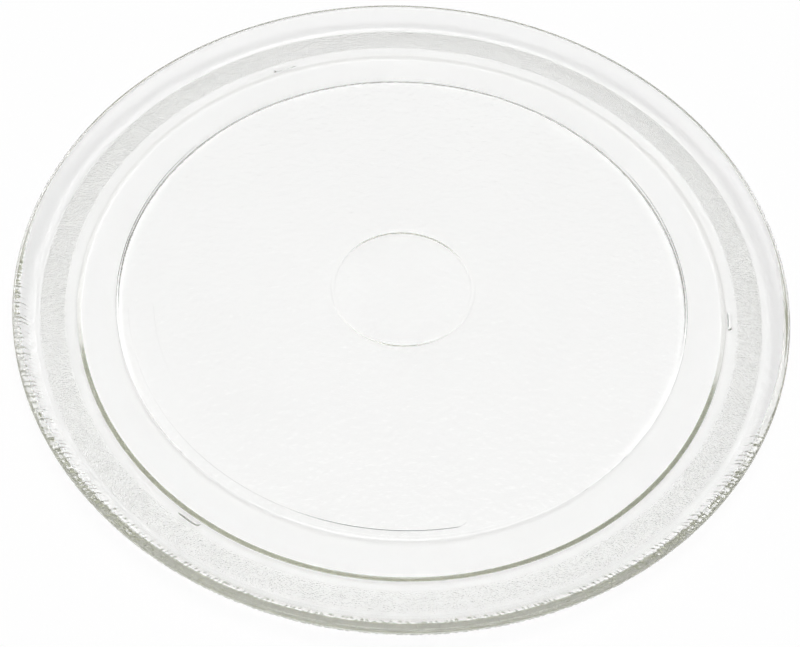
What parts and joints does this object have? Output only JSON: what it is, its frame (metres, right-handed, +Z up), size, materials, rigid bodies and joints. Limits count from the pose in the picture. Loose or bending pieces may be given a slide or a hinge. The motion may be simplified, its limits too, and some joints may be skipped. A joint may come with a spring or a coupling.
{
  "type": "microwave turntable plate",
  "caption": "Round flat dish of clear pressed glass with an upturned rim, a roller track and a hub ring underneath; carries food as it turns in a microwave oven.",
  "frame": {"origin": "on the plate's axis, at the level of the roller track it stands on", "axes": "+Z up along the axis; the blank panel lies toward -X and -Y"},
  "size_m": [0.27, 0.27, 0.0109],
  "materials": {
    "glass": "clear pressed glass, fire-polished on top, grained on the underside"
  },
  "bodies": {
    "root": {"turntable_plate": "glass"}
  },
  "joints": []
}
